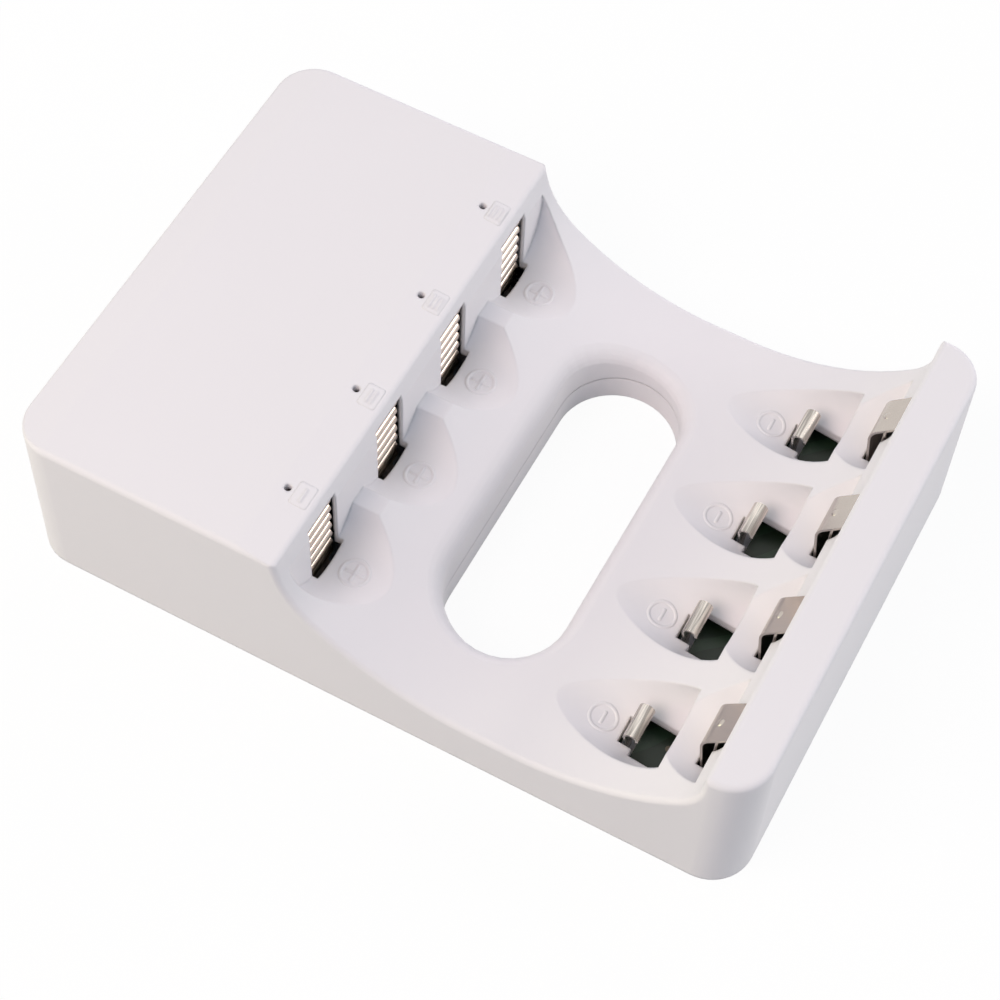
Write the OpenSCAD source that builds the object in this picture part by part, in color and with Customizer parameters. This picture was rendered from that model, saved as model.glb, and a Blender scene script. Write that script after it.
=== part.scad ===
// Four-bay charger for AA and AAA rechargeable cells.
// A white case with a high rear block, a dished bed with four cell bays, a finger hole and a
// front lip. Each bay has one ribbed positive plate and two sprung negative leaves.
// X runs across the bays, +Y points to the rear block and Z is up. The origin is on the table,
// under the middle of the case. All sizes are in millimetres and all angles in degrees.

/* [Case] */
// Length of the case, front to rear
case_l = 92.6; // [90:0.2:112]
// Distance from an outer bay's axis to the side of the case
side_margin = 9.7; // [9.4:0.1:14]
// Height of the rear block
block_h = 23.6; // [23:0.2:29]
// Length of the rear block's top
block_d = 34.8; // [33:0.2:42]
// Height of the front lip
lip_h = 23.1; // [22.5:0.1:28]
// Length of the front lip's top
lip_d = 6.1; // [5.8:0.1:8]
// Radius of the upright corners
corner_r = 5.2; // [4:0.1:7]
// Radius of the top edges
edge_r = 0.7; // [0.3:0.05:1.2]
// Radius of the block's front edge and the lip's inner edge
brow_r = 0.7; // [0.4:0.05:1]
// Radius of the bed's side edges
bed_edge_r = 0.7; // [0.4:0.05:1]
// Draft of the outer walls
wall_draft = 0.5; // [0.2:0.1:1]
// Thickness of the case walls at their foot
wall = 1.6; // [1.3:0.1:2]
// Length of the sloping strips at the front and rear of the block's top
strip_l = 4.8; // [3.5:0.1:6]
// Fall of those strips
strip_drop = 0.4; // [0.2:0.05:0.6]

/* [Bed] */
// Height of the bed at its lowest
bed_z = 7.2; // [7:0.1:8]
// Radius of the bed's rise to the lip
bed_front_r = 28.4; // [26:0.2:34]
// Radius of the bed's rise to the block
bed_rear_r = 31.9; // [30:0.1:38]
// Distance from the lip's inner edge to the level part of the bed
bed_front_run = 22.5; // [20:0.1:23.5]
// Distance from the block's edge to the level part of the bed
bed_rear_run = 24.7; // [22:0.1:25.5]
// Lean of the lip's inner face
lip_lean = 3; // [1:0.5:5]
// Lean of the block's front face
block_lean = 12; // [9:0.5:15]
// Radius of the hollow between the bed and the lip
bed_lip_r = 8; // [6:0.5:9]
// Radius of the hollow between the bed and the block
bed_block_r = 13; // [11:0.5:14]
// Length of the finger hole, across the bays
hole_l = 43.6; // [36:0.2:44]
// Width of the finger hole
hole_w = 15.2; // [12:0.2:16]
// Distance from the block's edge to the middle of the finger hole
hole_back = 19.9; // [18.5:0.1:21]
// Thickness of the finger hole's wall
collar_t = 1.4; // [1:0.1:2]
// Radius of the finger hole's upper rim
rim_r = 2; // [1:0.1:2.4]
// Height of the joint between the two halves of the finger hole's wall
collar_joint_z = 3.6; // [3:0.1:4.2]

/* [Cell bays] */
// Spacing of the bays
bay_pitch = 15; // [14.9:0.1:18]
// Radius of the groove for an AA cell
aa_groove_r = 7.4; // [7.3:0.05:7.45]
// Height of the AA groove's axis
aa_axis_z = 18.8; // [18:0.1:20]
// Radius of the scoop for an AAA cell
aaa_scoop_r = 5.7; // [5.4:0.05:6]
// Height of the AAA scoop's axis at the step to the AA groove
aaa_axis_z = 10.3; // [10.2:0.1:11]
// Rise of the AAA scoop's axis towards the block
aaa_tilt = 10.5; // [8:0.5:11]
// Height of the ridges between the bays at the block
ridge_z = 14.8; // [14.2:0.1:15.6]
// Depth of the AA groove's end wall behind the block's front edge
bay_rear_in = 0.6; // [0.3:0.1:1]
// Distance from the lip's inner edge to the front end of the AA groove
bay_front_in = 1.5; // [1.2:0.1:2]
// Length of the AA groove in front of the AAA scoop
aa_seat_l = 4.8; // [4.2:0.1:6]
// Thickness of the bay walls
bay_wall = 1.2; // [1:0.05:1.4]

/* [Contacts] */
// Width of the contact strips
contact_w = 5.1; // [4:0.1:6]
// Thickness of the contact strips
contact_t = 0.3; // [0.2:0.02:0.4]
// Gap between a contact and the sides of its window
contact_gap = 0.35; // [0.25:0.05:0.6]
// Spacing of the ribs on a positive plate
rib_pitch = 1.8; // [1.7:0.05:1.85]
// Radius of those ribs
rib_r = 1; // [0.95:0.05:1.2]
// Depth of the ribs behind the AA groove's end wall
plate_in = 0.5; // [0.4:0.05:1.2]
// Thickness of the end wall at the sides of its window
jamb_t = 0.5; // [0.4:0.05:0.7]
// Height of an AA leaf's crest above the groove's floor
aa_crest_up = 5.3; // [4.5:0.1:6]
// Reach of an AA leaf's crest behind the lip's inner edge
aa_crest_back = 3; // [2.6:0.1:3.4]
// Height of an AAA leaf's rolled head above the front board
aaa_head_up = 6.7; // [6.4:0.1:6.9]
// Reach of that head behind the step to the AA groove
aaa_head_back = 4.7; // [4.5:0.1:4.8]
// Width of that head
aaa_head_w = 4.4; // [4:0.1:5]
// Outer radius of the rolled head
aaa_head_r = 0.95; // [0.7:0.05:1.1]

/* [Electronics] */
// Thickness of the circuit boards
board_t = 1; // [0.8:0.1:1]
// Height of the main board's underside
main_board_z = 8.6; // [8:0.1:8.8]
// Diameter of a charge light's lens
led_d = 3; // [2.6:0.1:3.2]
// Diameter of the pin hole over each light
led_hole_d = 0.9; // [0.8:0.05:1.6]
// Distance of the pin holes behind the block's front edge
led_back = 3.7; // [3:0.1:4.5]
// Thickness of the block's top over each light
led_skin = 0.8; // [0.6:0.05:1.2]
// Width of the power inlet's shell
inlet_w = 7.6; // [7:0.1:9]
// Height of the power inlet's shell
inlet_h = 2.7; // [2.4:0.1:3.2]
// Diameter of a jumper wire
wire_d = 1.1; // [0.8:0.05:1.2]

/* [Assembly] */
// Thickness of the bottom cover
cover_t = 1.6; // [1.4:0.1:2]
// Gap round the bottom cover
cover_gap = 0.15; // [0.1:0.05:0.3]
// Diameter of the screw posts
post_d = 4.2; // [4:0.1:4.4]
// Diameter of the screw shanks
screw_d = 2; // [1.8:0.1:2.2]
// Diameter of the screw heads
screw_head_d = 3.6; // [3.2:0.1:3.8]

/* [Hidden] */
$fn = 64;

bay_count = 4;
over = 1;
tall = 60;
touch = 0.02;
rim_steps = 16;
bed_steps = 24;

case_w = (bay_count - 1) * bay_pitch + 2 * side_margin;
y_rear = case_l / 2;
y_front = -case_l / 2;
y_block = y_rear - block_d;
y_lip = y_front + lip_d;
block_edge_z = block_h - strip_drop;
block_ceiling_z = block_edge_z - wall;
lip_ceiling_z = lip_h - wall;

y_bed_front = y_lip + bed_front_run;
y_bed_rear = y_block - bed_rear_run;
hole_y = y_block - hole_back;

bay_end_y = y_block - bay_rear_in;
bay_front_y = y_lip + bay_front_in;
step_y = bay_front_y + aa_seat_l;
aa_floor_z = aa_axis_z - aa_groove_r;
groove_y = y_bed_rear + 11;
scoop_l = 33;
open_z = lip_h - 4;

window_w = contact_w + 2 * contact_gap;
pos_window_top = block_edge_z - 1.9;
top_rib_z = pos_window_top - rib_r - 0.1;
pos_notch_l = 0.7;
aa_window_top = lip_h - 2.5;
aa_notch_l = 1.5;
aaa_hole_l = 4.2;
aaa_window_top = aaa_axis_z - 3.4;
window_reach = 4;

front_board_z = cover_t + 0.3;
front_board_top = front_board_z + board_t;
main_board_top = main_board_z + board_t;
aa_root_y = y_lip + 1.6;
aaa_root_y = step_y + aaa_head_back + aaa_head_r - contact_t / 2;
aaa_tail_w = 1.2;
aaa_slot_w = (aaa_tail_w + aaa_head_w) / 2 + 2 * contact_gap;
aaa_slot_l = 1.8;
aa_tip_in = 0.3;
aa_tip_gap = 0.5;
heel_up = 1;
heel_bend = 0.9;
crest_bend = 1.1;
dimple_at = 1.5;
dimple_r = 0.95;
dimple_up = 0.16;
stop_at = 2.4;
stop_w = 0.9;
stop_l = 2.3;
leaf_slot_l = 1.7;
plate_y = bay_end_y + plate_in + rib_r;
plate_relief = 0.9;
relief_top = pos_window_top - plate_relief;
plate_foot_z = main_board_z - 3;
plate_foot_l = 1.5;
board_front_y = plate_y + 0.3;
led_y = y_block + led_back;
led_pocket_z = block_edge_z - led_skin;
led_gap = 0.35;
led_top_z = led_pocket_z - led_gap;
led_base_z = led_top_z - led_d / 2 - 4.8;
lead_pitch = 2.54;
lead_w = 0.5;

post_pad = 0.8;
post_z = cover_t + post_pad;
post_in = corner_r - 0.55;
screw_seat_z = 1.2;
post_x = case_w / 2 - post_in;
post_y = [y_front + post_in, y_rear - post_in];
peg_x = case_w / 2 - 8.2;
peg_y = [y_block + 6.5, y_rear - 8.3];
peg_d = 3.6;
pin_d = 1.7;
wire_z = cover_t + 3;

function bay_x(i) = (i - (bay_count + 1) / 2) * bay_pitch;

// Points of an arc, from angle a0 to a1
function arc(c, r, a0, a1, n) = [for (k = [0:n]) let (a = a0 + (a1 - a0) * k / n) c + r * [cos(a), sin(a)]];

function unit(v) = v / norm(v);

// Points of a soft bend at b, on the way from a to c, that starts a distance d before b
function bend(a, b, c, d, n) =
    let (p = b + unit(a - b) * d, q = b + unit(c - b) * d)
    [for (k = [0:n]) let (t = k / n) (1 - t) * (1 - t) * p + 2 * t * (1 - t) * b + t * t * q];

// Sideways direction of a path at its point k
function side(p, k) =
    let (a = p[max(k - 1, 0)], b = p[min(k + 1, len(p) - 1)], d = unit(b - a))
    [-d[1], d[0]];

// Outline of a strip of even thickness along a path
function strip(p, t) = concat(
    [for (k = [0:len(p) - 1]) p[k] + side(p, k) * t / 2],
    [for (k = [len(p) - 1:-1:0]) p[k] - side(p, k) * t / 2]
);

// Height of the bed at a place along the case
function bed_at(y) =
    y < y_bed_front ? bed_z + bed_front_r - sqrt(pow(bed_front_r, 2) - pow(y_bed_front - y, 2)) :
    y > y_bed_rear ? bed_z + bed_rear_r - sqrt(pow(bed_rear_r, 2) - pow(y - y_bed_rear, 2)) :
    bed_z;

// Place where a line from p along d leaves a circle
function meet(p, d, c, r) = let (b = d * (p - c)) p + d * (sqrt(b * b - (p - c) * (p - c) + r * r) - b);

// Places round the finger hole's edge, each with its outward direction
rim_path = [for (s = [0, 1], k = [0:rim_steps])
    let (a = -90 + 180 * s + 180 * k / rim_steps, d = [cos(a), sin(a)])
    [[(1 - 2 * s) * (hole_l - hole_w) / 2, hole_y] + hole_w / 2 * d, d]];

// Path down the lip's inner face, over the bed and up the block's front face
lip_down = unit([tan(lip_lean), -1]);
block_down = unit([-tan(block_lean), -1]);
bed_front_c = [y_bed_front, bed_z + bed_front_r];
bed_rear_c = [y_bed_rear, bed_z + bed_rear_r];
lip_side = [cos(lip_lean), sin(lip_lean)];
block_side = [-cos(block_lean), sin(block_lean)];
lip_brow = [y_lip, lip_h];
block_brow = [y_block, block_edge_z];
lip_hollow = meet(lip_brow + lip_side * bed_lip_r, lip_down, bed_front_c, bed_front_r - bed_lip_r);
block_hollow = meet(
    block_brow + block_side * bed_block_r, block_down, bed_rear_c, bed_rear_r - bed_block_r
);
lip_turn = lip_hollow - bed_front_c;
block_turn = block_hollow - bed_rear_c;
lip_foot_y = (bed_front_c + unit(lip_turn) * bed_front_r)[0];
block_foot_y = (bed_rear_c + unit(block_turn) * bed_rear_r)[0];
side_path = concat(
    [lip_brow - lip_down * 2],
    arc(lip_hollow, bed_lip_r, 180 + lip_lean, 360 + atan2(lip_turn[1], lip_turn[0]), 6),
    [for (k = [1:bed_steps - 1])
        let (y = lip_foot_y + (block_foot_y - lip_foot_y) * k / bed_steps)
        [y, bed_at(y)]],
    arc(block_hollow, bed_block_r, atan2(block_turn[1], block_turn[0]), -block_lean, 6),
    [block_brow - block_down * 2]
);

// Section of a cut that rounds an edge: steps into the part, with heights over its upper face
function round_section(r) = concat(
    [[-r, -1.4 * r], [-0.15 * r, -1.15 * r]],
    [for (a = [14:16:78]) r * [1 - cos(a), sin(a) - 1]],
    [[1.15 * r, 0.12 * r], [1.15 * r, r], [-r, r]]
);

// Triangles of a swept skin between two of its sections, with n points each
function skin(first, next, n) = [for (k = [0:n - 1], half = [0, 1])
    let (a = first * n + k, b = first * n + (k + 1) % n, c = next * n + k, d = next * n + (k + 1) % n)
    half == 0 ? [a, b, c] : [b, d, c]];

// Cut that rounds the finger hole's upper rim and follows the bed
module rim_cut() {
    section = round_section(rim_r);
    m = len(rim_path);
    polyhedron(
        [for (p = rim_path, q = section)
            let (xy = p[0] + p[1] * q[0])
            [xy[0], xy[1], bed_at(xy[1]) + q[1]]],
        [for (j = [0:m - 1], face = skin(j, (j + 1) % m, len(section))) face]
    );
}

// Cut that rounds the bed's edge on the first bay's side
module side_cut() {
    section = round_section(bed_edge_r);
    m = len(side_path);
    n = len(section);
    polyhedron(
        [for (k = [0:m - 1], q = section)
            let (yz = side_path[k] + side(side_path, k) * q[1])
            [tan(wall_draft) * yz[1] - case_w / 2 + q[0], yz[0], yz[1]]],
        concat(
            [for (j = [0:m - 2], face = skin(j, j + 1, n)) face],
            [[for (k = [n - 1:-1:0]) k], [for (k = [0:n - 1]) (m - 1) * n + k]]
        )
    );
}

// Extrudes a Y-Z outline along X, from x0 to x1
module along_x(x0, x1) {
    translate([x0, 0, 0])
        rotate([90, 0, 90])
            linear_extrude(x1 - x0)
                children();
}

// Half of the case's section: an outer wall with draft and a rounded top edge
module edge_section(run, h, e) {
    lean = tan(wall_draft);
    c = [run - lean * (h - e) - e / cos(wall_draft), h - e];
    polygon(concat([[0, 0], [run, 0]], arc(c, e, wall_draft, 90, 6), [[0, h]]));
}

// Drafted block with rounded upright corners and a rounded top edge
module slab(w, l, h, r, e) {
    for (sx = [-1, 1], sy = [-1, 1])
        translate([sx * (w / 2 - r), sy * (l / 2 - r), 0])
            rotate_extrude()
                edge_section(r, h, e);
    along_x(-w / 2 + r, w / 2 - r)
        for (s = [0, 1])
            mirror([s, 0])
                edge_section(l / 2, h, e);
    rotate([0, 0, 90])
        along_x(-l / 2 + r, l / 2 - r)
            for (s = [0, 1])
                mirror([s, 0])
                    edge_section(w / 2, h, e);
}

// Flat plan with rounded corners
module round_plan(w, l, r) {
    square([w - 2 * r, l], center = true);
    square([w, l - 2 * r], center = true);
    for (sx = [-1, 1], sy = [-1, 1])
        translate([sx * (w / 2 - r), sy * (l / 2 - r)])
            circle(r);
}

module stadium(grow) {
    square([hole_l - hole_w, hole_w + 2 * grow], center = true);
    for (s = [-1, 1])
        translate([s * (hole_l - hole_w) / 2, 0])
            circle(hole_w / 2 + grow);
}

// Fill of the corner between the bed and an upright face, up to a circle that touches both
module corner_fill(c, r, u, v) {
    difference() {
        polygon([c, c + u * 3 * r, c + unit(u + v) * 4 * r, c + v * 3 * r]);
        translate(c)
            circle(r + touch);
    }
}

// Outline of the open space between lip and block, above the bed, grown by a wall thickness
module valley(grow) {
    low = bed_z - grow - over;
    front_top = y_lip - grow / cos(lip_lean);
    rear_top = y_block + grow / cos(block_lean);
    difference() {
        intersection() {
            polygon([
                [front_top + tan(lip_lean) * (lip_h - low), low],
                [rear_top - tan(block_lean) * (block_edge_z - low), low],
                [rear_top + tan(block_lean) * (tall - block_edge_z), tall],
                [front_top - tan(lip_lean) * (tall - lip_h), tall]
            ]);
            union() {
                intersection() {
                    translate(bed_front_c)
                        circle(bed_front_r + grow);
                    translate([y_bed_front - tall, low])
                        square([tall, tall]);
                }
                translate([y_bed_front, bed_z - grow])
                    square([y_bed_rear - y_bed_front, tall]);
                intersection() {
                    translate(bed_rear_c)
                        circle(bed_rear_r + grow);
                    translate([y_bed_rear, low])
                        square([tall, tall]);
                }
                translate([front_top - tall / 2, open_z])
                    square([rear_top - front_top + tall, tall]);
            }
        }
        corner_fill(lip_hollow, bed_lip_r + grow, -lip_side, unit(lip_turn));
        corner_fill(block_hollow, bed_block_r + grow, -block_side, unit(block_turn));
    }
}

// Sliver that rounds a section's corner p, whose faces leave it along u and v
module corner_round(p, u, v, r) {
    half = acos(u * v) / 2;
    inward = unit(u + v);
    facing = atan2(-inward[1], -inward[0]);
    c = p + inward * 0.98 * r / sin(half);
    polygon(concat([p - inward * r], arc(c, r, facing - 90 + half, facing + 90 - half, 6)));
}

// Open space in front of the grooves' end wall, above the ridges between the bays
module ridge_trim(grow) {
    translate([bay_x(1), y_bed_rear, ridge_z - grow])
        cube([bay_x(bay_count) - bay_x(1), bay_end_y + grow - y_bed_rear, tall]);
}

// Round grooves of one bay: the AA groove at both ends and the tilted AAA scoop
module bay(i, grow) {
    translate([bay_x(i), 0, 0]) {
        translate([0, bay_end_y + grow, aa_axis_z])
            rotate([90, 0, 0])
                cylinder(r = aa_groove_r + grow, h = bay_end_y + grow - groove_y);
        translate([0, step_y, aa_axis_z])
            rotate([90, 0, 0])
                cylinder(r = aa_groove_r + grow, h = aa_seat_l + grow);
        intersection() {
            translate([0, step_y, aaa_axis_z])
                rotate([-90 + aaa_tilt, 0, 0])
                    translate([0, 0, -aaa_scoop_r])
                        cylinder(r = aaa_scoop_r + grow, h = scoop_l + aaa_scoop_r);
            translate([-bay_pitch / 2, step_y - grow, 0])
                cube([bay_pitch, tall, tall]);
        }
    }
}

// Windows of one bay, which the three contacts look through
module bay_windows(i) {
    translate([bay_x(i), 0, 0]) {
        translate([-window_w / 2, bay_end_y - pos_notch_l, main_board_z - over])
            cube([window_w, pos_notch_l + window_reach, pos_window_top - main_board_z + over]);
        translate([-window_w / 2 - plate_relief, bay_end_y + jamb_t, main_board_z - over])
            cube([window_w + 2 * plate_relief, window_reach, relief_top - main_board_z + over]);
        translate([-window_w / 2, bay_front_y - window_reach, front_board_top + over])
            cube([window_w, window_reach + aa_notch_l, aa_window_top - front_board_top - over]);
        translate([-window_w / 2, step_y + contact_gap, front_board_z])
            cube([window_w, aaa_hole_l, aaa_window_top - front_board_z]);
        translate([-aaa_slot_w / 2, step_y + contact_gap, front_board_z])
            cube([aaa_slot_w, aaa_hole_l + aaa_slot_l, aaa_window_top - front_board_z]);
    }
}

// Outer form of the case, before it is hollowed
module case_form() {
    difference() {
        union() {
            intersection() {
                slab(case_w, case_l, lip_h, corner_r, edge_r);
                translate([-case_w, -case_l, -over])
                    cube([2 * case_w, case_l + hole_y + over, tall]);
            }
            intersection() {
                slab(case_w, case_l, block_h, corner_r, edge_r);
                translate([-case_w, hole_y - over, -over])
                    cube([2 * case_w, case_l, tall]);
            }
        }
        along_x(-case_w, case_w) {
            valley(0);
            corner_round(lip_brow, [-1, 0], lip_down, brow_r);
            corner_round(block_brow, unit([strip_l, strip_drop]), block_down, brow_r);
        }
        for (s = [0, 1])
            mirror([s, 0, 0])
                side_cut();
        // Sloping strips along the front and rear of the block's top
        along_x(-case_w, case_w) {
            polygon([[y_block + strip_l, block_h], [y_block - over, block_h + over],
                [y_block - over, block_edge_z - strip_drop * over / strip_l]]);
            polygon([[y_rear - strip_l, block_h], [y_rear + over, block_h + over],
                [y_rear + over, block_edge_z - strip_drop * over / strip_l]]);
        }
    }
}

// Hollow inside of the case, open below, round its screw posts and the finger hole's wall
module cavity() {
    difference() {
        for (part = [[-case_l, lip_ceiling_z], [hole_y, block_ceiling_z]])
            intersection() {
                translate([0, 0, -over])
                    linear_extrude(part[1] + over)
                        round_plan(case_w - 2 * wall, case_l - 2 * wall, corner_r - wall);
                translate([-case_w, part[0], -tall])
                    cube([2 * case_w, case_l + hole_y + over, 2 * tall]);
            }
        along_x(-case_w, case_w)
            valley(wall);
        ridge_trim(bay_wall);
        for (i = [1:bay_count])
            bay(i, bay_wall);
        translate([0, hole_y, collar_joint_z + cover_gap])
            linear_extrude(tall)
                stadium(collar_t);
        for (sx = [-1, 1], y = post_y)
            translate([sx * post_x, y, post_z])
                cylinder(d = post_d, h = tall);
    }
}

module top_housing() {
    color("whitesmoke")
        difference() {
            case_form();
            for (i = [1:bay_count])
                bay(i, 0);
            ridge_trim(0);
            cavity();
            for (i = [1:bay_count])
                bay_windows(i);
            translate([0, hole_y, -over])
                linear_extrude(tall)
                    stadium(0);
            rim_cut();
            for (i = [1:bay_count])
                translate([bay_x(i), led_y, block_ceiling_z - over]) {
                    cylinder(d = led_hole_d, h = tall);
                    cylinder(d = led_d + 2 * led_gap, h = led_pocket_z - block_ceiling_z + over);
                }
            for (sx = [-1, 1], y = post_y)
                translate([sx * post_x, y, 0])
                    cylinder(d = screw_d + 0.1, h = post_z + 8);
            inlet_opening();
        }
}

// Opening in the rear wall for the power inlet's nose
module inlet_opening() {
    translate([0, y_rear - wall - over, main_board_top])
        rotate([-90, 0, 0])
            mirror([0, 1])
                linear_extrude(tall)
                    inlet_outline(0.3);
}

// Shell outline of the power inlet, narrower at its foot, seated on y = 0
module inlet_outline(grow) {
    foot = inlet_w - 2 * inlet_h * 0.35;
    polygon([
        [-foot / 2 - grow, -grow], [foot / 2 + grow, -grow],
        [inlet_w / 2 + grow, inlet_h * 0.45], [inlet_w / 2 + grow, inlet_h + grow],
        [-inlet_w / 2 - grow, inlet_h + grow], [-inlet_w / 2 - grow, inlet_h * 0.45]
    ]);
}

module bottom_cover() {
    inset = wall + cover_gap;
    color("whitesmoke")
        difference() {
            union() {
                linear_extrude(cover_t)
                    round_plan(case_w - 2 * inset, case_l - 2 * inset, corner_r - inset);
                translate([0, hole_y, 0])
                    linear_extrude(collar_joint_z)
                        stadium(collar_t);
                for (sx = [-1, 1], y = post_y)
                    translate([sx * post_x, y, 0])
                        cylinder(d = post_d, h = post_z);
                // Pegs that carry and locate the main board
                for (sx = [-1, 1], y = peg_y)
                    translate([sx * peg_x, y, 0]) {
                        cylinder(d = peg_d, h = main_board_z);
                        cylinder(d = pin_d, h = main_board_top + 0.8);
                    }
                // Ribs under the front board
                for (y = [step_y + 9, bay_front_y + 1])
                    translate([-case_w / 2 + 8, y, 0])
                        cube([case_w - 16, 1.2, front_board_z]);
            }
            translate([0, hole_y, -over])
                linear_extrude(tall)
                    stadium(0);
            for (sx = [-1, 1], y = post_y)
                translate([sx * post_x, y, -over]) {
                    cylinder(d = screw_d + 0.4, h = tall);
                    cylinder(d = screw_head_d + 0.5, h = over + screw_seat_z);
                }
        }
}

module main_board() {
    color("darkgreen")
        translate([0, 0, main_board_z])
            linear_extrude(board_t)
                difference() {
                    translate([-case_w / 2 + wall + 1, board_front_y])
                        square([case_w - 2 * wall - 2, y_rear - wall - 0.6 - board_front_y]);
                    for (sx = [-1, 1])
                        translate([sx * case_w / 2, y_rear])
                            square(2 * (post_in + post_d / 2 + 0.5), center = true);
                    for (sx = [-1, 1], y = peg_y)
                        translate([sx * peg_x, y])
                            circle(d = pin_d + 0.3);
                    for (i = [1:bay_count], s = [-1, 1])
                        translate([bay_x(i) + s * lead_pitch / 2, led_y])
                            circle(d = lead_w + 0.4);
                }
}

module front_board() {
    color("darkgreen")
        translate([0, 0, front_board_z])
            linear_extrude(board_t)
                difference() {
                    translate([-case_w / 2 + wall + 1, y_front + wall + 0.6])
                        square([case_w - 2 * wall - 2, step_y + 13.2 - y_front - wall]);
                    for (sx = [-1, 1])
                        translate([sx * case_w / 2, y_front])
                            square(2 * (post_in + post_d / 2 + 0.5), center = true);
                    for (i = [1:bay_count], y = [aa_root_y, aaa_root_y])
                        translate([bay_x(i), y])
                            square([window_w, leaf_slot_l], center = true);
                }
}

// Ribbed nickel plate that meets the cell's raised end, with its foot on the main board
module positive_contact(i) {
    last = ceil((top_rib_z - main_board_top) / rib_pitch);
    ribs = [for (k = [0:last]) top_rib_z - k * rib_pitch];
    rib_wall_y = plate_y - rib_r + contact_t / 2;
    color("silver")
        along_x(bay_x(i) - contact_w / 2, bay_x(i) + contact_w / 2) {
            difference() {
                for (z = ribs)
                    translate([plate_y, z])
                        circle(rib_r);
                for (z = ribs)
                    translate([plate_y, z])
                        circle(rib_r - contact_t);
                translate([plate_y, 0])
                    square([tall, tall]);
            }
            translate([plate_y - contact_t, plate_foot_z])
                square([contact_t, ribs[last] - rib_r + contact_t - plate_foot_z]);
            translate([rib_wall_y, main_board_top])
                square([plate_y + plate_foot_l - rib_wall_y, contact_t]);
        }
}

// Bent leaf that meets an AA cell's flat end, standing in its slot in the front board
module aa_spring(i) {
    tail = [aa_root_y, front_board_z];
    heel = [aa_root_y, front_board_top + heel_up];
    crest = [y_lip + aa_crest_back, aa_floor_z + aa_crest_up];
    tip = [y_lip - aa_tip_in, aa_window_top - aa_tip_gap];
    path = concat(
        [tail],
        bend(tail, heel, crest, heel_bend, 5),
        bend(heel, crest, tip, crest_bend, 8),
        [tip]
    );
    slope = unit(tip - crest);
    dimple = crest + slope * dimple_at - [slope[1], -slope[0]] * (dimple_r - contact_t / 2 - dimple_up);
    stop = crest + slope * stop_at;
    color("silver") {
        along_x(bay_x(i) - contact_w / 2, bay_x(i) + contact_w / 2)
            polygon(strip(path, contact_t));
        translate([bay_x(i), dimple[0], dimple[1]])
            sphere(dimple_r, $fn = 32);
        // Small stop tongue folded down from the leaf's edge
        translate([bay_x(i) - contact_w / 2, stop[0] - contact_t / 2, stop[1] - stop_l])
            cube([stop_w, contact_t, stop_l]);
    }
}

// Tapered upright leaf with a rolled head that meets an AAA cell's flat end
module aaa_spring(i) {
    tail = [aaa_root_y, front_board_z];
    head = [step_y + aaa_head_back, front_board_top + aaa_head_up - aaa_head_r];
    path = concat([tail], arc(head, aaa_head_r - contact_t / 2, 0, 215, 16));
    color("silver")
        intersection() {
            along_x(bay_x(i) - bay_pitch / 2, bay_x(i) + bay_pitch / 2)
                polygon(strip(path, contact_t));
            translate([bay_x(i), y_bed_rear, 0])
                rotate([90, 0, 0])
                    linear_extrude(tall)
                        polygon([
                            [-aaa_tail_w / 2, 0], [aaa_tail_w / 2, 0], [aaa_tail_w / 2, front_board_top],
                            [aaa_head_w / 2, head[1]], [aaa_head_w / 2, tall], [-aaa_head_w / 2, tall],
                            [-aaa_head_w / 2, head[1]], [-aaa_tail_w / 2, front_board_top]
                        ]);
        }
}

// Charge light: domed lens with a collar, just below its pin hole
module led(i) {
    color("ivory")
        translate([bay_x(i), led_y, led_base_z]) {
            cylinder(d = led_d + 0.8, h = 1);
            cylinder(d = led_d, h = led_top_z - led_d / 2 - led_base_z);
            translate([0, 0, led_top_z - led_d / 2 - led_base_z])
                sphere(d = led_d);
        }
}

module led_leads() {
    color("silver")
        for (i = [1:bay_count], s = [-1, 1])
            translate([bay_x(i) + (s * lead_pitch - lead_w) / 2, led_y - lead_w / 2, main_board_z - 0.8])
                cube([lead_w, lead_w, led_base_z - main_board_z + 0.8]);
}

// Steel shell of the power inlet, seated on the main board with its mouth in the rear wall
module inlet_shell() {
    color("lightgray")
        translate([0, y_rear - 0.5, main_board_top])
            rotate([90, 0, 0])
                difference() {
                    linear_extrude(5.4)
                        inlet_outline(0);
                    translate([0, 0, -over])
                        linear_extrude(5.1 + over)
                            translate([0, 0.3])
                                scale((inlet_h - 0.6) / inlet_h)
                                    inlet_outline(0);
                }
}

// Plastic tongue inside the inlet, on its back block
module inlet_tongue() {
    color("dimgray")
        translate([0, y_rear - 5.6, main_board_top + 0.3]) {
            translate([-2, 0, 0.05])
                cube([4, 1.2, inlet_h - 0.7]);
            translate([-1.7, 1.2, inlet_h - 1.5])
                cube([3.4, 3, 0.6]);
        }
}

// Sixteen-lead control chip on the main board
module control_chip() {
    l = 9.9;
    w = 3.9;
    lift = 0.15;
    color("dimgray")
        translate([0, y_block + 17.5, main_board_top]) {
            translate([-l / 2, -w / 2, lift])
                cube([l, w, 1.5]);
            for (k = [0:7], s = [-1, 1])
                translate([(k - 3.5) * 1.27 - 0.2, s * (w / 2 + 0.5) - 0.5, 0])
                    cube([0.4, 1, 0.8]);
        }
}

// One charge transistor for each bay
module charge_transistors() {
    color("dimgray")
        for (i = [1:bay_count])
            translate([bay_x(i), y_block + 9, main_board_top]) {
                translate([-1.45, -0.8, 0.1])
                    cube([2.9, 1.6, 1]);
                for (p = [[-0.95, -1], [0.95, -1], [0, 1]])
                    translate([p[0] - 0.2, p[1] * 1.05 - 0.35, 0])
                        cube([0.4, 0.7, 0.6]);
            }
}

// One sense resistor for each bay
module sense_resistors() {
    color("dimgray")
        for (i = [1:bay_count])
            translate([bay_x(i) - 1.6, y_block + 12.4, main_board_top])
                cube([3.2, 1.6, 0.6]);
}

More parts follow.
